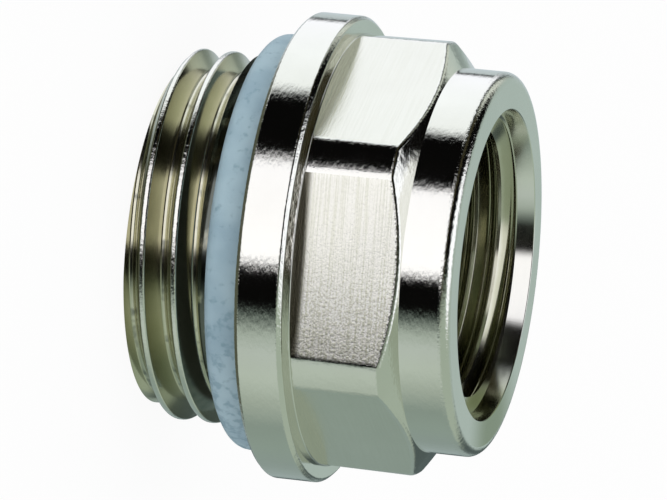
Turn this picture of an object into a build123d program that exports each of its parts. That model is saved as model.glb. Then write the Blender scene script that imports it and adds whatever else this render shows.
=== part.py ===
from build123d import *
from math import ceil, radians, tan
import os

# Reducing nipple coupling: a male pipe thread with a sealing ring, a flange, a spanner hexagon and a
# female pipe thread, turned from one bar. It stands on its male end, with the axis along +Z and the
# origin at the centre of the male end face. All sizes are in millimetres, and angles in degrees.

os.makedirs("parts", exist_ok=True)

# Pipe thread form, as shares of the pitch
thread_depth_share = 0.640327
crest_flat_share = 1 / 6
thread_angle = 55.0
cutter_overlap = 0.15  # how far the thread cutter stands clear of the crests that it leaves

# Male end
male_major_d = 20.955
male_pitch = 1.814
male_end_chamfer = 0.8
male_thread_length = 4.2
male_runout_angle = 132.6  # about the axis, where the groove runs out into the neck
male_length = 7.3  # end face to the flange's sealing face
neck_d = 18.4

# Flange and hexagon
flange_d = 26.3
flange_thickness = 2.7
flange_edge_chamfer = 0.22
hex_across_flats = 22.0
hex_corner_d = 24.4
hex_length = 6.0  # flange to the root of the nose
hex_shoulder = 0.25  # round shoulder left between the flange and the flats
hex_chamfer_angle = 30.0  # from the plane of the end

# Nose and female end, whose bore has the diameter inside the fine thread's crests
nose_d = 21.6
nose_length = 2.8
nose_edge_radius = 0.6
mouth_rim_d = 17.5  # at the end face, from which the mouth narrows a little to its floor
mouth_d = 17.1
mouth_depth = 1.0
female_major_d = 16.662
female_pitch = 1.337
female_depth = 9.9  # mouth's floor to the step at the bore's end
through_bore_d = 13.5
bore_edge_chamfer = 0.5

# Sealing ring
seal_d = 23.5
seal_thickness = 2.2
seal_edge_chamfer = 0.5
seal_neck_clearance = 0.05

# Radii of the turned steps
male_r = male_major_d / 2
male_root_r = male_r - thread_depth_share * male_pitch
neck_r = neck_d / 2
flange_r = flange_d / 2
corner_r = hex_corner_d / 2
nose_r = nose_d / 2
mouth_rim_r = mouth_rim_d / 2
mouth_r = mouth_d / 2
female_crest_r = female_major_d / 2 - thread_depth_share * female_pitch
bore_r = through_bore_d / 2
seal_r = seal_d / 2
seal_inner_r = neck_r + seal_neck_clearance

# Heights of the turned steps
flange_top = male_length + flange_thickness
shoulder_top = flange_top + hex_shoulder
hex_top = flange_top + hex_length
hex_chamfer_foot = hex_top - (corner_r - nose_r) * tan(radians(hex_chamfer_angle))
length = hex_top + nose_length
mouth_floor = length - mouth_depth
female_floor = mouth_floor - female_depth
seal_front = male_length - seal_thickness

# Male thread groove: the cutter's section, and the turns that reach from the neck past the end face
groove_r = male_r + cutter_overlap
root_half_width = male_pitch * crest_flat_share / 2
groove_half_width = root_half_width + (groove_r - male_root_r) * tan(radians(thread_angle / 2))
groove_stop = male_thread_length + groove_half_width
turn_count = ceil((groove_stop + groove_half_width) / male_pitch)
turn_heights = [groove_stop - (turn + 1) * male_pitch for turn in range(turn_count)]
turn_places = [Location((0, 0, height), (0, 0, male_runout_angle)) for height in turn_heights]

# One right-hand turn of the groove, which starts on the +X side with its middle at height 0
with BuildPart() as groove_turn:
    with BuildLine() as path:
        Helix(male_pitch, male_pitch, male_r)
    with BuildSketch(Plane.XZ):
        with BuildLine():
            Polyline(
                (male_root_r, -root_half_width),
                (groove_r, -groove_half_width),
                (groove_r, groove_half_width),
                (male_root_r, root_half_width),
                close=True,
            )
        make_face()
    sweep(path=path.line, is_frenet=True)

with BuildPart() as body:
    # Turned profile, from the male end's face, up the outside and down the bore
    with BuildSketch(Plane.XZ):
        with BuildLine():
            outside = Polyline(
                (bore_r + bore_edge_chamfer, 0),
                (male_r - male_end_chamfer, 0),
                (male_r, male_end_chamfer),
                (male_r, male_thread_length),
                (neck_r, male_thread_length),
                (neck_r, male_length),
                (flange_r - flange_edge_chamfer, male_length),
                (flange_r, male_length + flange_edge_chamfer),
                (flange_r, flange_top - flange_edge_chamfer),
                (flange_r - flange_edge_chamfer, flange_top),
                (corner_r, flange_top),
                (corner_r, hex_chamfer_foot),
                (nose_r, hex_top),
                (nose_r, length - nose_edge_radius),
            )
            nose_edge = JernArc(outside @ 1, (0, 1), nose_edge_radius, 90)
            Polyline(
                nose_edge @ 1,
                (mouth_rim_r, length),
                (mouth_r, mouth_floor),
                (female_crest_r, mouth_floor),
                (female_crest_r, female_floor),
                (bore_r, female_floor),
                (bore_r, bore_edge_chamfer),
                outside @ 0,
            )
        make_face()
    revolve(axis=Axis.Z)

    # Spanner flats, milled down to the shoulder
    with BuildSketch(Plane.XY.offset(shoulder_top)):
        Circle(flange_r)
        RegularPolygon(hex_across_flats / 2, 6, major_radius=False, mode=Mode.SUBTRACT)
    extrude(amount=hex_top - shoulder_top, mode=Mode.SUBTRACT)

    # Male thread: the helical groove leaves the crests on the turned diameter
    with Locations(*turn_places):
        add(groove_turn.part, mode=Mode.SUBTRACT)

body.part.label = "body"
export_step(body.part, "parts/body.step")

# Sealing ring: lies in the neck with its flat back against the flange and its free outer edge broken
with BuildPart() as seal_ring:
    with BuildSketch(Plane.XZ):
        with BuildLine():
            Polyline(
                (seal_inner_r, seal_front),
                (seal_r - seal_edge_chamfer, seal_front),
                (seal_r, seal_front + seal_edge_chamfer),
                (seal_r, male_length),
                (seal_inner_r, male_length),
                close=True,
            )
        make_face()
    revolve(axis=Axis.Z)

seal_ring.part.label = "seal_ring"
export_step(seal_ring.part, "parts/seal_ring.step")
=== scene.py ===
from math import atan2, ceil, cos, floor, pi, radians, sin, sqrt, tan

import bmesh
import bpy
from mathutils import Matrix, Vector


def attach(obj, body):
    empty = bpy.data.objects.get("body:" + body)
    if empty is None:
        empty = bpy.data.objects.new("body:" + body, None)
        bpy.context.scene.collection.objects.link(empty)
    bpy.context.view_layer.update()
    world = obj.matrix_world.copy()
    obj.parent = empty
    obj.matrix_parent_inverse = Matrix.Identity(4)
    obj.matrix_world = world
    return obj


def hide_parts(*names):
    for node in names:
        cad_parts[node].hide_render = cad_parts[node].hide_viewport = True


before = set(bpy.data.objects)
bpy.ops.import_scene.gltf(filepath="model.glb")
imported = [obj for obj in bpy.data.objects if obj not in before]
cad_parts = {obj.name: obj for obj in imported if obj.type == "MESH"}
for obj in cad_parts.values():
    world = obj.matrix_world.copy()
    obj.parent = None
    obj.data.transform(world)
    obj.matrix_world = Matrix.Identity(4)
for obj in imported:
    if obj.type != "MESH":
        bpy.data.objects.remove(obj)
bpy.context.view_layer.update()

# The photo shows a bright reducing nipple lying across the picture. The part stands on its male end, so
# the camera is turned on its side. Sizes of the part are in millimetres until MM makes them metres.
MM = 0.001
MICRON = 0.000001

# Thread form, as shares of the pitch, with small roundings at the crests and the roots
THREAD_DEPTH = 0.640327
CREST_HALF = 1 / 12
CREST_ROUND = 0.09
ROOT_ROUND = 0.12
FLANK_ANGLE = radians(27.5)

# Male end, whose crests have worn edges down to CREST_EDGE below their tops
MALE_R = 10.4775
MALE_PITCH = 1.814
MALE_CREST = 1.645
MALE_CHAMFER = 0.8
MALE_THREAD = 4.2
MALE_LENGTH = 7.3
NECK_R = 9.2
CREST_EDGE = 0.03

# Flange and hexagon
FLANGE_R = 13.15
FLANGE_TOP = 10.0
FLANGE_EDGE = 0.22
FLANGE_ROUND = 0.16
SHOULDER_ROUND = 0.06
SHOULDER_TOP = 10.25
FLAT_R = 11.0
LAND_R = 12.2
HEX_TOP = 16.0
HEX_SLOPE = tan(radians(30))
HEX_EDGE = 0.32
FLATS = 6
FIRST_FLAT = radians(-90)
FLAT_TURN = radians(360 / FLATS)

# Rounded edge between a flat and the round land at a corner: its radius, its middle, and the turns from
# the flat's middle where it starts and ends
FLAT_EDGE = 0.8
EDGE_X = FLAT_R - FLAT_EDGE
EDGE_MIDDLE = Vector((EDGE_X, sqrt((LAND_R - FLAT_EDGE) ** 2 - EDGE_X**2)))
FLAT_END = atan2(EDGE_MIDDLE.y, FLAT_R)
LAND_START = atan2(EDGE_MIDDLE.y, EDGE_MIDDLE.x)

# Nose and female end, whose thread leans a little and fades out above its floor
NOSE_R = 10.8
LENGTH = 18.8
NOSE_ROUND = 0.6
MOUTH_RIM_R = 8.75
MOUTH_R = 8.55
MOUTH_EDGE = 0.06
MOUTH_FLOOR = 17.8
FEMALE_R = 7.4749
FEMALE_PITCH = 1.337
FEMALE_CREST = 16.588
FEMALE_FLOOR = 7.9
FEMALE_LOW = 8.6
FEMALE_FADE = 1.3
FEMALE_LEAN = tan(radians(11))
BORE_R = 6.75
BORE_EDGE = 0.5

# Sealing ring
SEAL_R = 11.75
SEAL_INNER_R = 9.25
SEAL_FRONT = 5.1
SEAL_ROUND = 0.7
SEAL_BACK_ROUND = 0.25

# Mesh: columns round the axis, columns across each rounded edge of a flat, steps of the roundings, and
# how far beside a rounding the wall gets a point that keeps it flat
COLUMNS = 300
EDGE_COLUMNS = 3
ROUND_STEPS = 4
NOSE_STEPS = 8
SEAL_STEPS = 6
BESIDE = 0.01
MERGE = 2e-7
SHARP = radians(30)

# Finishes of the body's walls, as places in its list of materials. HEX is milled, turned or an edge.
TURNED, MILLED, FACED, CUT, EDGE, HEX = range(6)

# Plate: tints that clouds mix, and roughness from the clouds' low to their high places
NICKEL = ((0.72, 0.71, 0.63), (0.75, 0.74, 0.66))
MILLED_NICKEL = ((0.71, 0.70, 0.61), (0.74, 0.73, 0.64))
POLISHED = (0.05, 0.09)
FACED_POLISH = (0.10, 0.16)
CUT_POLISH = (0.12, 0.18)
MILLED_POLISH = (0.19, 0.25)
CLOUD_STOPS = (0.35, 0.65)
NOISE_RANGE = (0.3, 0.7)

# Marks in the plate, as noise cells in a metre, the same on all axes or along each
CLOUDS = 260.0
WAVES = 700.0
CUT_WAVES = 900.0
NICKS = 4200.0
PEEL = (2500, 2500, 6500)
MILL_LINES = (200, 200, 11000)
SPECKLE = (7500, 7500, 9000)
RINGS = 6000

# Depths of the marks in metres
WAVE_DEPTH = 8 * MICRON
PEEL_DEPTH = 10 * MICRON
CUT_WAVE_DEPTH = 5 * MICRON
NICK_DEPTH = 26 * MICRON
LINE_DEPTH = 6 * MICRON
SPECKLE_DEPTH = 9 * MICRON
FACE_WAVE_DEPTH = 4 * MICRON
RING_DEPTH = 1.5 * MICRON

# Flats: their crown in 1/m and their tilt, mill lines, speckle on the two flats that a spanner gripped,
# where it grows along the flat, and painted shade in the corner at the foot of those two, for the dark
# flange face they mirror
FLAT_CROWN = 10.0
FLAT_TILT = 0.043
GRIPPED = ((FLAT_R - 0.3) * MM, (FLAT_R - 0.1) * MM)
SPECKLE_RANGE = (0.44, 0.60)
RUBBED_PLACE = (-2.0 * MM, 4.5 * MM)
RUBBED_SHARE = (0.08, 0.36)
LINE_RANGE = (0.42, 0.62)
LINE_SHARE = 0.05
GRIPPED_LINE_SHARE = 0.20
SHADED_FOOT_PLACE = ((SHOULDER_TOP + 0.15) * MM, (SHOULDER_TOP + 0.55) * MM)
FOOT_SHADE_SHARE = 0.9
FLAT_FOOT_SHADE = (0.05, 0.043, 0.022)
TARNISH = (0.41, 0.42, 0.26)

# Painted reflection on the end face, an olive patch towards the picture's foot: its tint, its middle in
# metres, and the distances over which it fades
FACE_REFLECTION_TINT = (0.26, 0.29, 0.14)
FACE_REFLECTION_PLACE = (9.3 * MM, 2.0 * MM, LENGTH * MM)
FACE_REFLECTION_FADE = (1.0 * MM, 6.0 * MM)

# Tints of the threads and the neck by distance from the axis, and how far the waves in them shift those;
# the neck's dark tint is painted shade
THREAD_TINTS_AND_NECK_SHADE = [
    (7.4, (0.62, 0.60, 0.48)),
    (7.8, (0.46, 0.45, 0.32)),
    (8.4, (0.40, 0.39, 0.27)),
    # The neck: painted shade in the recess between the thread and the seal
    (8.9, (0.12, 0.13, 0.11)),
    (9.22, (0.12, 0.13, 0.11)),
    (9.3, (0.60, 0.58, 0.44)),
    (9.7, (0.50, 0.49, 0.35)),
    (10.4, (0.38, 0.37, 0.25)),
]
TINT_SHIFT = 0.4

# Seal: tints, its dark spots with more of them low in the picture, and the shade next to the neck
SEAL_TINTS = ((0.34, 0.49, 0.58), (0.43, 0.59, 0.67))
SEAL_SPOT = (0.16, 0.29, 0.37)
SEAL_SHADE = (0.05, 0.06, 0.06)
SEAL_CLOUDS = 420.0
SEAL_SPOTS = 1900.0
SEAL_GRAIN = 9000.0
SEAL_CLOUD_DEPTH = 80 * MICRON
SEAL_SPOT_DEPTH = 20 * MICRON
SEAL_GRAIN_DEPTH = 4 * MICRON
SEAL_POLISH = (0.5, 0.75)
SEAL_SPOT_RANGE = (0.24, 0.42)
SEAL_SPOT_SHARE = 0.5
LOW_SPOT_PLACE = (-2.0 * MM, 10.0 * MM)
LOW_SPOT_SHARE = 0.14
SHADE_PLACE = (10.1 * MM, 10.5 * MM)

# What bright metal mirrors at eye level and below, by degrees from the camera towards the picture's foot
BLACK = (0.003, 0.003, 0.003)
TEAL = (0.09, 0.12, 0.12)
HEAD_BANDS = [
    (-180, (0.58, 0.66, 0.70)),
    (-153, (0.58, 0.66, 0.70)),
    (-151, (0.06, 0.07, 0.07)),
    (-149, (0.06, 0.07, 0.07)),
    (-145, (1.22, 1.25, 1.40)),
    (-110, (1.26, 1.32, 1.44)),
    (-84, (1.16, 1.22, 1.30)),
]
FRONT_BANDS = [
    (-76, BLACK),
    (-45, BLACK),
    (-38, (1.34, 1.34, 1.48)),
    (8, (1.40, 1.40, 1.52)),
    (14, BLACK),
    (32, BLACK),
    (37, (0.12, 0.15, 0.14)),
    (46, (0.46, 0.54, 0.50)),
    (56, (0.58, 0.66, 0.64)),
    (70, (0.58, 0.67, 0.62)),
    (86, (0.44, 0.52, 0.47)),
    (102, (0.30, 0.38, 0.35)),
    (120, (0.32, 0.41, 0.38)),
    (140, (0.31, 0.39, 0.38)),
]
FOOT_BANDS = [(164, (0.36, 0.44, 0.44)), (169, TEAL), (180, TEAL)]
BANDS = HEAD_BANDS + FRONT_BANDS + FOOT_BANDS

# What it mirrors above eye level, in three steps of height, and straight above and below
BACK = (0.46, 0.56, 0.54)
GREEN = (0.44, 0.53, 0.46)
SLATE = (0.05, 0.06, 0.06)
BROWN = (0.05, 0.045, 0.025)
PALE = (0.80, 0.86, 0.82)
LEVEL_HEAD = [(-180, BACK), (-170, BACK), (-155, SLATE), (-84, SLATE)]
LEVEL_FOOT = [(150, TEAL), (170, TEAL), (176, BACK), (180, BACK)]
LEVEL = LEVEL_HEAD + FRONT_BANDS + LEVEL_FOOT
UPPER_HEAD = [(-180, BACK), (-165, BACK), (-150, PALE), (-112, PALE), (-104, BROWN), (14, BROWN)]
UPPER_FOOT = [(40, GREEN), (138, GREEN), (152, TEAL), (168, TEAL), (175, BACK), (180, BACK)]
UPPER = UPPER_HEAD + UPPER_FOOT
RAISED_HEAD = [(-180, BACK), (-165, BACK), (-152, BLACK), (10, BLACK)]
RAISED_FOOT = [(40, GREEN), (150, GREEN), (172, BACK), (180, BACK)]
RAISED = RAISED_HEAD + RAISED_FOOT
OVERHEAD = (1.36, 1.40, 1.56)
OVERHEAD_AXIS = (0.0, -0.11, 0.994)
UNDERFOOT = (0.10, 0.11, 0.08)

# Heights of a direction over which one set of screens passes into the next
LEVEL_START = (0.03, 0.08)
UPPER_START = (0.20, 0.23)
RAISED_START = (0.40, 0.50)
OVERHEAD_START = (0.885, 0.925)
UNDERFOOT_END = (-0.75, -0.55)

# Plain room and floor, and the lamp, in metres
ROOM = (0.85, 0.85, 0.85)
WHITE = (1.0, 1.0, 1.0)
FLOOR_SEEN = (0.9, 0.9, 0.9)
FLOOR_BOUNCE = (0.75, 0.75, 0.75)
FLOOR_GLOW = 0.93
FLOOR_HALF = 3.0
LAMP_SIZE = 0.5
LAMP_ENERGY = 1.0
LAMP_PLACE = (-0.5, -0.45, 0.35)
LAMP_TARGET = (0, 0, 0.009)

# Camera, fitted to the photo's edges, with its clipping distances in metres
IMAGE_WIDTH = 667
FOCAL_PIXELS = 6669.1
SENSOR = 36.0
CAMERA_AZIMUTH = radians(-95.6)
CAMERA_ELEVATION = 0.2533
CAMERA_ROLL = -0.1034
CAMERA_DISTANCE = 374.103
CAMERA_TARGET = 9.8835
CAMERA_RIGHT = 0.5378
CAMERA_DOWN = -0.033
CLIP_START = 0.01
CLIP_END = 20.0


def arc(centre_r, centre_z, radius, start, end, steps):
    """Points on an arc of the section, from one angle to another in degrees."""
    turns = [radians(start + (end - start) * step / steps) for step in range(steps + 1)]
    return [(centre_r + radius * cos(turn), centre_z + radius * sin(turn)) for turn in turns]


def thread_form():
    """Half of the thread form, from a crest's middle to a root's: shares of the pitch along and down."""
    sweep = pi / 2 - FLANK_ANGLE
    turns = [sweep * step / ROUND_STEPS for step in range(ROUND_STEPS + 1)]
    reach = tan(sweep / 2)
    crest_end = CREST_HALF - CREST_ROUND * reach
    root_start = 0.5 - CREST_HALF + ROOT_ROUND * reach
    form = [(0.0, 0.0)]
    for turn in turns:
        form.append((crest_end + CREST_ROUND * sin(turn), CREST_ROUND * (1 - cos(turn))))
    for turn in turns[::-1]:
        form.append((root_start - ROOT_ROUND * sin(turn), THREAD_DEPTH - ROOT_ROUND * (1 - cos(turn))))
    return form + [(0.5, THREAD_DEPTH)]


# The form, and where its points lie along one pitch, from one root up to the next
FORM = thread_form()
SHARES = [-along for along, _ in FORM[::-1]] + [along for along, _ in FORM[1:-1]]


def thread_drop(share, lean):
    """Depth below the crest at a share of the pitch from the crest's middle, as a share of the pitch."""
    leaning = lean * (share + CREST_HALF)
    share = abs(share)
    for (start, high), (end, low) in zip(FORM, FORM[1:]):
        if share <= end:
            return max(high + (low - high) * (share - start) / (end - start), leaning)
    return THREAD_DEPTH


def thread_side(crest, pitch, low, high, angle, lean=0.0):
    """Heights and drops of a thread's side between two heights, at an angle about the axis.

    Turns past a limit are squeezed onto it, so that every angle has the same number of points.
    """
    crest_here = crest + pitch * angle / (2 * pi)
    first = floor((low - crest) / pitch) - 2
    last = ceil((high - crest) / pitch) + 1
    side = []
    for turn in range(first, last):
        for share in SHARES:
            height = min(max(crest_here + (turn + share) * pitch, low), high)
            place = (height - crest_here) / pitch
            side.append((height, pitch * thread_drop(place - round(place), lean)))
    return side


def corner(before, point, after, radius, steps=ROUND_STEPS):
    """Points of a corner of the section, rounded to a radius, and one on each wall to keep it flat."""
    point = Vector(point)
    back, on = (Vector(before) - point).normalized(), (Vector(after) - point).normalized()
    half = back.angle(on) / 2
    middle = point + (back + on).normalized() * (radius / sin(half))
    first = point + back * (radius / tan(half)) - middle
    last = point + on * (radius / tan(half)) - middle
    sweep = first.angle_signed(last)
    turns = [Matrix.Rotation(-sweep * step / steps, 2) for step in range(steps + 1)]
    rounded = [tuple(middle + turn @ first) for turn in turns]
    return [tuple(middle + first + back * BESIDE)] + rounded + [tuple(middle + last + on * BESIDE)]


def edge_then(finish, points):
    """Runs of a rounded edge and of the wall after it, which has a finish of its own."""
    return [(EDGE, points[:-1]), (finish, points[-1:])]


def turn_from_flat(angle):
    """Turn from the middle of the nearest flat to an angle about the axis."""
    return abs((angle - FIRST_FLAT + FLAT_TURN / 2) % FLAT_TURN - FLAT_TURN / 2)


def hex_radius(angle):
    """Distance from the axis to the hexagon's wall: a flat, the round land at a corner, or the edge."""
    turn = turn_from_flat(angle)
    if turn <= FLAT_END:
        return FLAT_R / cos(turn)
    if turn >= LAND_START:
        return LAND_R
    along = EDGE_MIDDLE.dot(Vector((cos(turn), sin(turn))))
    return along + sqrt(along**2 - EDGE_MIDDLE.length_squared + FLAT_EDGE**2)


def male_side(angle):
    """Points of the male end at an angle, from its face to the end of its thread, with their finishes."""
    side = [(BORE_R + BORE_EDGE, 0, FACED)]
    for height, drop in thread_side(MALE_CREST, MALE_PITCH, 0, MALE_THREAD, angle):
        radius = min(MALE_R - drop, MALE_R - MALE_CHAMFER + height)
        side.append((radius, height, EDGE if drop < CREST_EDGE else CUT))
    return side


def female_side(angle):
    """Points of the female thread at an angle, from the mouth's floor to where the thread fades out."""
    side = []
    heights = FEMALE_LOW, MOUTH_FLOOR
    for height, drop in thread_side(FEMALE_CREST, FEMALE_PITCH, *heights, angle, FEMALE_LEAN):
        fade = min((height - FEMALE_LOW) / FEMALE_FADE, 1)
        side.append((FEMALE_R + drop * fade, height))
    return side[::-1]


def flange_runs():
    """Runs of the section from the neck's foot to the shoulder, each with its finish."""
    low_in, low_out = (FLANGE_R - FLANGE_EDGE, MALE_LENGTH), (FLANGE_R, MALE_LENGTH + FLANGE_EDGE)
    high_out, high_in = (FLANGE_R, FLANGE_TOP - FLANGE_EDGE), (FLANGE_R - FLANGE_EDGE, FLANGE_TOP)
    neck_foot = (NECK_R, MALE_LENGTH)
    land_foot, land_top = (LAND_R, FLANGE_TOP), (LAND_R, SHOULDER_TOP)
    return [
        (FACED, [neck_foot]),
        (EDGE, corner(neck_foot, low_in, low_out, FLANGE_ROUND)),
        *edge_then(TURNED, corner(low_in, low_out, high_out, FLANGE_ROUND)),
        (EDGE, corner(low_out, high_out, high_in, FLANGE_ROUND)),
        *edge_then(FACED, corner(high_out, high_in, land_foot, FLANGE_ROUND)),
        (TURNED, [land_foot]),
        (FACED, corner(land_foot, land_top, (NOSE_R, SHOULDER_TOP), SHOULDER_ROUND)),
    ]


def nose_runs(wall):
    """Runs of the section from the hexagon's foot to the mouth's floor, each with its finish."""
    wall_foot = (min(wall, LAND_R - SHOULDER_ROUND - BESIDE), SHOULDER_TOP)
    wall_top = (wall, HEX_TOP - (wall - NOSE_R) * HEX_SLOPE)
    nose_foot, nose_top = (NOSE_R, HEX_TOP), (NOSE_R, LENGTH)
    rim, mouth_foot = (MOUTH_RIM_R, LENGTH), (MOUTH_R, MOUTH_FLOOR)
    return [
        (HEX, [wall_foot]),
        *edge_then(TURNED, corner((wall, SHOULDER_TOP), wall_top, nose_foot, HEX_EDGE)),
        (TURNED, [nose_foot]),
        *edge_then(FACED, corner(nose_foot, nose_top, rim, NOSE_ROUND, NOSE_STEPS)),
        (FACED, corner(nose_top, rim, mouth_foot, MOUTH_EDGE)),
        (FACED, [mouth_foot]),
    ]


def body_section(angle):
    """Closed section of the body at an angle, each point with the finish of the wall after it."""
    male = male_side(angle)
    runs = [
        (CUT, [(male[-1][0], MALE_THREAD), (NECK_R, MALE_THREAD)]),
        *flange_runs(),
        *nose_runs(hex_radius(angle)),
        (CUT, female_side(angle)),
        (FACED, [(FEMALE_R, FEMALE_FLOOR)]),
        (TURNED, [(BORE_R, FEMALE_FLOOR), (BORE_R, BORE_EDGE)]),
    ]
    return male + [(r, z, finish) for finish, points in runs for r, z in points]


def seal_section(angle):
    """Closed section of the sealing ring, the same at every angle, with its edges rounded."""
    front = arc(SEAL_R - SEAL_ROUND, SEAL_FRONT + SEAL_ROUND, SEAL_ROUND, -90, 0, SEAL_STEPS)
    back_middle = SEAL_R - SEAL_BACK_ROUND, MALE_LENGTH - SEAL_BACK_ROUND
    back = arc(*back_middle, SEAL_BACK_ROUND, 0, 90, ROUND_STEPS)
    points = [(SEAL_INNER_R, SEAL_FRONT)] + front + back + [(SEAL_INNER_R, MALE_LENGTH)]
    return [(r, z, TURNED) for r, z in points]


def column_angles():
    """Angles of the mesh's columns, with some across each rounded edge of a flat."""
    even = [2 * pi * column / COLUMNS for column in range(COLUMNS + 1)]
    sweep = LAND_START - FLAT_END
    across = [FLAT_END + sweep * step / EDGE_COLUMNS for step in range(EDGE_COLUMNS + 1)]
    flats = [FIRST_FLAT + FLAT_TURN * flat for flat in range(FLATS)]
    edges = [(flat + side * turn) % (2 * pi) for flat in flats for turn in across for side in (-1, 1)]
    return sorted(even + edges)


def wall_finish(finish, angle):
    """Finish of a wall: the hexagon's is milled on the flats, turned on the lands and an edge between."""
    if finish != HEX:
        return finish
    turn = turn_from_flat(angle)
    if turn < FLAT_END:
        return MILLED
    return TURNED if turn > LAND_START else EDGE


def section_mesh(section):
    """Mesh of a section carried round the axis, with the finish of each wall."""
    angles = column_angles()
    columns = [section(angle) for angle in angles]
    mesh = bmesh.new()
    rings = []
    for angle, column in zip(angles, columns):
        x, y = cos(angle), sin(angle)
        rings.append([mesh.verts.new((r * MM * x, r * MM * y, z * MM)) for r, z, _ in column])
    count = len(columns[0])
    for here in range(len(angles) - 1):
        middle = (angles[here] + angles[here + 1]) / 2
        near, far = rings[here], rings[here + 1]
        for point in range(count):
            after = (point + 1) % count
            face = mesh.faces.new((near[point], far[point], far[after], near[after]))
            face.material_index = wall_finish(columns[here][point][2], middle)
            face.smooth = True
    bmesh.ops.remove_doubles(mesh, verts=mesh.verts, dist=MERGE)
    bmesh.ops.dissolve_degenerate(mesh, edges=mesh.edges, dist=MERGE)
    bmesh.ops.recalc_face_normals(mesh, faces=mesh.faces)
    return mesh


def turned_piece(name, section, materials):
    """Piece made of a section carried round the axis."""
    mesh = section_mesh(section)
    data = bpy.data.meshes.new(name)
    mesh.to_mesh(data)
    mesh.free()
    for material in materials:
        data.materials.append(material)
    data.set_sharp_from_angle(angle=SHARP)
    piece = bpy.data.objects.new(name, data)
    bpy.context.collection.objects.link(piece)
    return piece


def math_node(tree, operation, *values):
    """A maths node on sockets or plain numbers, as its result."""
    made = tree.nodes.new("ShaderNodeMath")
    made.operation = operation
    for socket, value in zip(made.inputs, values):
        if isinstance(value, (int, float)):
            socket.default_value = value
        else:
            tree.links.new(value, socket)
    return made.outputs[0]


def ramp_node(tree, factor, stops):
    """A colour ramp over places from 0 to 1, as its colour."""
    made = tree.nodes.new("ShaderNodeValToRGB")
    elements = made.color_ramp.elements
    elements.remove(elements[1])
    for index, (place, colour) in enumerate(stops):
        element = elements[0] if index == 0 else elements.new(place)
        element.position = place
        element.color = (*colour, 1)
    tree.links.new(factor, made.inputs["Fac"])
    return made.outputs["Color"]


def range_node(tree, value, low, high, start=0.0, end=1.0):
    """A smooth step of a value between two limits."""
    made = tree.nodes.new("ShaderNodeMapRange")
    made.interpolation_type = "SMOOTHSTEP"
    tree.links.new(value, made.inputs["Value"])
    for key, number in (("From Min", low), ("From Max", high), ("To Min", start), ("To Max", end)):
        made.inputs[key].default_value = number
    return made.outputs["Result"]


def mix_colour(tree, factor, first, second):
    """A mix of two colours, each a socket or three numbers."""
    made = tree.nodes.new("ShaderNodeMix")
    made.data_type = "RGBA"
    # A mix node has sockets for each kind of value, and those for colours are inputs 6 and 7 and output 2
    for socket, value in ((made.inputs[0], factor), (made.inputs[6], first), (made.inputs[7], second)):
        if isinstance(value, tuple):
            socket.default_value = (*value, 1)
        else:
            tree.links.new(value, socket)
    return made.outputs[2]


def noise_node(tree, vector, scale=1.0, detail=3.0, roughness=0.55):
    """Noise from 0 to 1 on a vector."""
    made = tree.nodes.new("ShaderNodeTexNoise")
    made.inputs["Scale"].default_value = scale
    made.inputs["Detail"].default_value = detail
    made.inputs["Roughness"].default_value = roughness
    tree.links.new(vector, made.inputs["Vector"])
    return made.outputs["Fac"]


def scaled(tree, vector, scale):
    """A vector multiplied part by part."""
    made = tree.nodes.new("ShaderNodeVectorMath")
    made.operation = "MULTIPLY"
    tree.links.new(vector, made.inputs[0])
    made.inputs[1].default_value = scale
    return made.outputs["Vector"]


def distance_node(tree, vector, place):
    """Distance from a vector to a fixed place."""
    made = tree.nodes.new("ShaderNodeVectorMath")
    made.operation = "DISTANCE"
    tree.links.new(vector, made.inputs[0])
    made.inputs[1].default_value = place
    return made.outputs["Value"]


def parts_of(tree, vector):
    """The three parts of a vector."""
    made = tree.nodes.new("ShaderNodeSeparateXYZ")
    tree.links.new(vector, made.inputs["Vector"])
    return made.outputs["X"], made.outputs["Y"], made.outputs["Z"]


def new_material(name):
    """An empty material, with its tree, its shader and the place on the object in metres."""
    material = bpy.data.materials.new(name)
    material.use_nodes = True
    tree = material.node_tree
    shader = tree.nodes["Principled BSDF"]
    place = tree.nodes.new("ShaderNodeTexCoord").outputs["Object"]
    return material, tree, shader, place


def bump_chain(tree, shader, layers):
    """Bumps on top of each other: each layer is a height and the real depth of 1 in metres."""
    normal = None
    for height, depth in layers:
        bump = tree.nodes.new("ShaderNodeBump")
        bump.inputs["Distance"].default_value = depth
        bump.inputs["Strength"].default_value = 1.0
        tree.links.new(height, bump.inputs["Height"])
        if normal:
            tree.links.new(normal, bump.inputs["Normal"])
        normal = bump.outputs["Normal"]
    tree.links.new(normal, shader.inputs["Normal"])


def axis_distance(tree, place):
    """Distance from the part's axis, in metres."""
    return distance_node(tree, scaled(tree, place, (1, 1, 0)), (0, 0, 0))


def flat_place(tree, place):
    """Distance along a flat from its middle, round the axis, in metres."""
    x, y, _ = parts_of(tree, place)
    angle = math_node(tree, "ADD", math_node(tree, "ARCTAN2", y, x), FLAT_TURN / 2 - FIRST_FLAT)
    turn = math_node(tree, "FLOORED_MODULO", angle, FLAT_TURN)
    slope = math_node(tree, "TANGENT", math_node(tree, "SUBTRACT", turn, FLAT_TURN / 2))
    return math_node(tree, "MULTIPLY", slope, FLAT_R * MM)


def ring_place(tree, place, scale):
    """A place that only changes with the distance from the axis, for the rings of a faced end."""
    spread = tree.nodes.new("ShaderNodeCombineXYZ")
    tree.links.new(math_node(tree, "MULTIPLY", axis_distance(tree, place), scale), spread.inputs["X"])
    return spread.outputs["Vector"]


def plate(name, polish, tints=NICKEL):
    """Bright nickel plate with faint clouds, before any tool marks, and its colour."""
    material, tree, shader, place = new_material(name)
    cloud = noise_node(tree, place, CLOUDS, detail=4.0)
    colour = ramp_node(tree, cloud, zip(CLOUD_STOPS, tints))
    tree.links.new(colour, shader.inputs["Base Color"])
    tree.links.new(range_node(tree, cloud, *NOISE_RANGE, *polish), shader.inputs["Roughness"])
    shader.inputs["Metallic"].default_value = 1.0
    return material, tree, shader, place, colour


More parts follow.
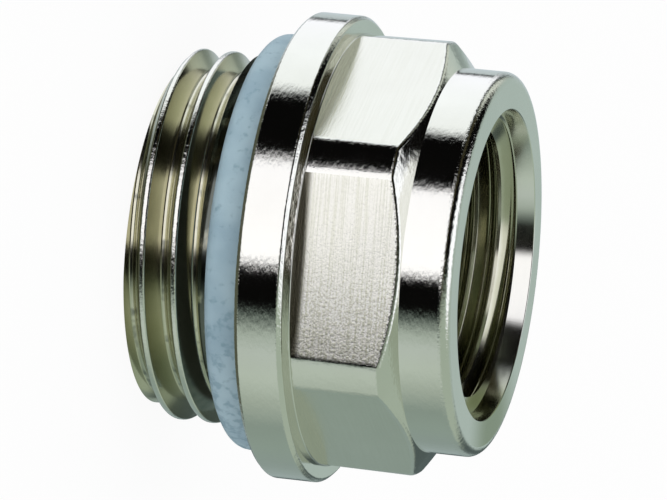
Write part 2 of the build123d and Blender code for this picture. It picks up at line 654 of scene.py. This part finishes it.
def turned_material():
    """Plate on turned walls, with a slight peel that runs round the axis."""
    material, tree, shader, place, _ = plate("nickel_turned", POLISHED)
    wave = noise_node(tree, place, WAVES, detail=2.0)
    peel = noise_node(tree, scaled(tree, place, PEEL))
    bump_chain(tree, shader, [(wave, WAVE_DEPTH), (peel, PEEL_DEPTH)])
    return material


def cut_material():
    """Plate in the threads and the neck, tinted by the distance from the axis, with painted shade on the
    neck.
    """
    material, tree, shader, place, _ = plate("nickel_cut", CUT_POLISH)
    wave = noise_node(tree, place, CUT_WAVES, detail=2.0)
    low, high = THREAD_TINTS_AND_NECK_SHADE[0][0], THREAD_TINTS_AND_NECK_SHADE[-1][0]
    uneven = math_node(tree, "MULTIPLY_ADD", wave, TINT_SHIFT * MM, axis_distance(tree, place))
    above = math_node(tree, "SUBTRACT", uneven, (low + TINT_SHIFT / 2) * MM)
    share = math_node(tree, "DIVIDE", above, (high - low) * MM)
    stops = [((radius - low) / (high - low), tint) for radius, tint in THREAD_TINTS_AND_NECK_SHADE]
    tree.links.new(ramp_node(tree, share, stops), shader.inputs["Base Color"])
    bump_chain(tree, shader, [(wave, CUT_WAVE_DEPTH)])
    return material


def edge_material():
    """Plate on broken edges, nicked a little by handling."""
    material, tree, shader, place, _ = plate("nickel_edge", POLISHED)
    nick = noise_node(tree, place, NICKS, roughness=0.65)
    bump_chain(tree, shader, [(nick, NICK_DEPTH)])
    return material


def flat_wear_and_shade(tree, place, across, line, grain, colour):
    """Colour of the flats: mill lines, and on the gripped two also speckle and painted shade at their
    foot.
    """
    _, y, z = parts_of(tree, place)
    gripped = range_node(tree, math_node(tree, "ABSOLUTE", y), *GRIPPED)
    rubbed = math_node(tree, "MULTIPLY", range_node(tree, across, *RUBBED_PLACE, *RUBBED_SHARE), gripped)
    speckle = math_node(tree, "MULTIPLY", range_node(tree, grain, *SPECKLE_RANGE), rubbed)
    line_share = math_node(tree, "MULTIPLY_ADD", gripped, GRIPPED_LINE_SHARE, LINE_SHARE)
    lines = math_node(tree, "MULTIPLY", range_node(tree, line, *LINE_RANGE), line_share)
    flat_colour = mix_colour(tree, math_node(tree, "ADD", lines, speckle), colour, TARNISH)
    # Painted shade: the foot of the two gripped flats is darkened next to the shoulder, in place of the
    # dark flange face they mirror
    foot_shade = range_node(tree, z, *SHADED_FOOT_PLACE, start=FOOT_SHADE_SHARE, end=0.0)
    return mix_colour(tree, math_node(tree, "MULTIPLY", foot_shade, gripped), flat_colour, FLAT_FOOT_SHADE)


def milled_material():
    """Plate on the spanner flats, slightly crowned, with the lines of the mill across the axis."""
    material, tree, shader, place, colour = plate("nickel_milled", MILLED_POLISH, MILLED_NICKEL)
    across = flat_place(tree, place)
    bend = math_node(tree, "MULTIPLY", math_node(tree, "POWER", across, 2.0), -FLAT_CROWN / 2)
    crown = math_node(tree, "MULTIPLY_ADD", across, FLAT_TILT, bend)
    line = noise_node(tree, scaled(tree, place, MILL_LINES))
    grain = noise_node(tree, scaled(tree, place, SPECKLE), detail=2.0, roughness=0.65)
    flat_colour = flat_wear_and_shade(tree, place, across, line, grain, colour)
    tree.links.new(flat_colour, shader.inputs["Base Color"])
    bump_chain(tree, shader, [(crown, 1.0), (line, LINE_DEPTH), (grain, SPECKLE_DEPTH)])
    return material


def faced_material():
    """Plate on faced ends, with faint rings about the axis and an olive patch of painted reflection on
    the end face.
    """
    material, tree, shader, place, colour = plate("nickel_faced", FACED_POLISH)
    # Painted reflection: an olive patch on the end face towards the picture's foot, fading with distance
    away = distance_node(tree, place, FACE_REFLECTION_PLACE)
    spot = range_node(tree, away, *FACE_REFLECTION_FADE, start=1.0, end=0.0)
    tree.links.new(mix_colour(tree, spot, colour, FACE_REFLECTION_TINT), shader.inputs["Base Color"])
    wave = noise_node(tree, place, WAVES, detail=2.0)
    ring = noise_node(tree, ring_place(tree, place, RINGS), detail=2.0)
    bump_chain(tree, shader, [(wave, FACE_WAVE_DEPTH), (ring, RING_DEPTH)])
    return material


def seal_material():
    """Matte pale blue-grey sealing ring with darker mottling."""
    material, tree, shader, place = new_material("seal_fibre")
    cloud = noise_node(tree, place, SEAL_CLOUDS, detail=2.0)
    spot = noise_node(tree, place, SEAL_SPOTS, detail=2.0, roughness=0.5)
    grain = noise_node(tree, place, SEAL_GRAIN)
    base = ramp_node(tree, cloud, zip(CLOUD_STOPS, SEAL_TINTS))
    x, _, _ = parts_of(tree, place)
    # More dark spots towards +X, the picture's foot
    more_spots_low = range_node(tree, x, *LOW_SPOT_PLACE, start=0.0, end=LOW_SPOT_SHARE)
    shifted_spot = math_node(tree, "SUBTRACT", spot, more_spots_low)
    spots = range_node(tree, shifted_spot, *SEAL_SPOT_RANGE, start=SEAL_SPOT_SHARE, end=0.0)
    spotted = mix_colour(tree, spots, base, SEAL_SPOT)
    shade = range_node(tree, axis_distance(tree, place), *SHADE_PLACE, start=1.0, end=0.0)
    tree.links.new(mix_colour(tree, shade, spotted, SEAL_SHADE), shader.inputs["Base Color"])
    tree.links.new(range_node(tree, grain, *NOISE_RANGE, *SEAL_POLISH), shader.inputs["Roughness"])
    layers = [(cloud, SEAL_CLOUD_DEPTH), (spot, SEAL_SPOT_DEPTH), (grain, SEAL_GRAIN_DEPTH)]
    bump_chain(tree, shader, layers)
    return material


def screen_ramp(tree, place, stops):
    """Screens round the picture, from stops in degrees from -180 to 180."""
    return ramp_node(tree, place, [((turn + 180) / 360, colour) for turn, colour in stops])


def studio_screens(tree):
    """Colour of the studio that bright metal mirrors, by direction from the camera's side."""
    turn = tree.nodes.new("ShaderNodeVectorRotate")
    turn.rotation_type = "Z_AXIS"
    turn.inputs["Angle"].default_value = -CAMERA_AZIMUTH
    tree.links.new(tree.nodes.new("ShaderNodeTexCoord").outputs["Generated"], turn.inputs["Vector"])
    direction = turn.outputs["Vector"]
    x, y, height = parts_of(tree, direction)
    place = math_node(tree, "MULTIPLY_ADD", math_node(tree, "ARCTAN2", y, x), 1 / (2 * pi), 0.5)
    overhead = tree.nodes.new("ShaderNodeVectorMath")
    overhead.operation = "DOT_PRODUCT"
    overhead.inputs[1].default_value = OVERHEAD_AXIS
    tree.links.new(direction, overhead.inputs[0])
    screens = screen_ramp(tree, place, BANDS)
    for start, stops in ((LEVEL_START, LEVEL), (UPPER_START, UPPER), (RAISED_START, RAISED)):
        higher = screen_ramp(tree, place, stops)
        screens = mix_colour(tree, range_node(tree, height, *start), screens, higher)
    above = range_node(tree, overhead.outputs["Value"], *OVERHEAD_START)
    below = range_node(tree, height, *UNDERFOOT_END, start=1.0, end=0.0)
    return mix_colour(tree, below, mix_colour(tree, above, screens, OVERHEAD), UNDERFOOT)


def light_room():
    """White room for the eye and for soft light, and a studio of screens for bright metal to mirror."""
    world = bpy.data.worlds.new("studio")
    bpy.context.scene.world = world
    world.use_nodes = True
    tree = world.node_tree
    tree.nodes.clear()
    path = tree.nodes.new("ShaderNodeLightPath")
    plain = mix_colour(tree, path.outputs["Is Camera Ray"], ROOM, WHITE)
    shown = mix_colour(tree, path.outputs["Is Glossy Ray"], plain, studio_screens(tree))
    background = tree.nodes.new("ShaderNodeBackground")
    tree.links.new(shown, background.inputs["Color"])
    output = tree.nodes.new("ShaderNodeOutputWorld")
    tree.links.new(background.outputs["Background"], output.inputs["Surface"])


def floor_material():
    """White that glows for the eye, and is matte enough to keep a faint shadow."""
    material = bpy.data.materials.new("floor_white")
    material.use_nodes = True
    tree = material.node_tree
    tree.nodes.clear()
    seen = tree.nodes.new("ShaderNodeLightPath").outputs["Is Camera Ray"]
    matte = tree.nodes.new("ShaderNodeBsdfDiffuse")
    tree.links.new(mix_colour(tree, seen, FLOOR_BOUNCE, FLOOR_SEEN), matte.inputs["Color"])
    glow = tree.nodes.new("ShaderNodeEmission")
    glow.inputs["Strength"].default_value = 1.0
    mix = tree.nodes.new("ShaderNodeMixShader")
    tree.links.new(math_node(tree, "MULTIPLY", seen, FLOOR_GLOW), mix.inputs["Fac"])
    tree.links.new(matte.outputs["BSDF"], mix.inputs[1])
    tree.links.new(glow.outputs["Emission"], mix.inputs[2])
    output = tree.nodes.new("ShaderNodeOutputMaterial")
    tree.links.new(mix.outputs["Shader"], output.inputs["Surface"])
    return material


def lay_floor():
    """Plain white floor, which the bright metal doesn't mirror."""
    near, far = -FLOOR_HALF, FLOOR_HALF
    data = bpy.data.meshes.new("floor")
    corners = [(near, near, 0), (far, near, 0), (far, far, 0), (near, far, 0)]
    data.from_pydata(corners, [], [(0, 1, 2, 3)])
    data.materials.append(floor_material())
    floor_piece = bpy.data.objects.new("floor", data)
    bpy.context.collection.objects.link(floor_piece)
    floor_piece.visible_glossy = False


def hang_lamp():
    """Large soft lamp over the picture's top."""
    lamp = bpy.data.lights.new("softbox", "AREA")
    lamp.shape = "SQUARE"
    lamp.size = LAMP_SIZE
    lamp.energy = LAMP_ENERGY
    holder = bpy.data.objects.new("softbox", lamp)
    holder.location = LAMP_PLACE
    holder.rotation_euler = (Vector(LAMP_TARGET) - holder.location).to_track_quat("-Z", "Y").to_euler()
    holder.visible_glossy = False
    bpy.context.collection.objects.link(holder)


def set_camera():
    """Camera of the photo, turned on its side so that the part's axis runs across the picture."""
    towards = Vector((cos(CAMERA_AZIMUTH), sin(CAMERA_AZIMUTH), 0))
    up = Vector((0, 0, 1))
    back = towards * cos(CAMERA_ELEVATION) + up * sin(CAMERA_ELEVATION)
    level_right = up * cos(CAMERA_ELEVATION) - towards * sin(CAMERA_ELEVATION)
    level_down = up.cross(towards)
    right = level_right * cos(CAMERA_ROLL) + level_down * sin(CAMERA_ROLL)
    down = level_down * cos(CAMERA_ROLL) - level_right * sin(CAMERA_ROLL)
    place = up * CAMERA_TARGET + back * CAMERA_DISTANCE - right * CAMERA_RIGHT - down * CAMERA_DOWN
    camera = bpy.data.cameras.new("camera")
    camera.sensor_fit = "HORIZONTAL"
    camera.sensor_width = SENSOR
    camera.lens = FOCAL_PIXELS * SENSOR / IMAGE_WIDTH
    camera.clip_start = CLIP_START
    camera.clip_end = CLIP_END
    holder = bpy.data.objects.new("camera", camera)
    axes = Matrix((right, -down, back)).transposed().to_4x4()
    holder.matrix_world = Matrix.Translation(place * MM) @ axes
    bpy.context.collection.objects.link(holder)
    bpy.context.scene.camera = holder


# The materials stand in the order of the finishes
FINISHES = [turned_material(), milled_material(), faced_material(), cut_material(), edge_material()]
body = turned_piece("coupling_body", body_section, FINISHES)
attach(body, "root")
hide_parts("body")
seal = turned_piece("sealing_ring", seal_section, [seal_material()])
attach(seal, "root")
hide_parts("seal_ring")

light_room()
lay_floor()
hang_lamp()
set_camera()
bpy.context.scene.view_settings.view_transform = "Standard"
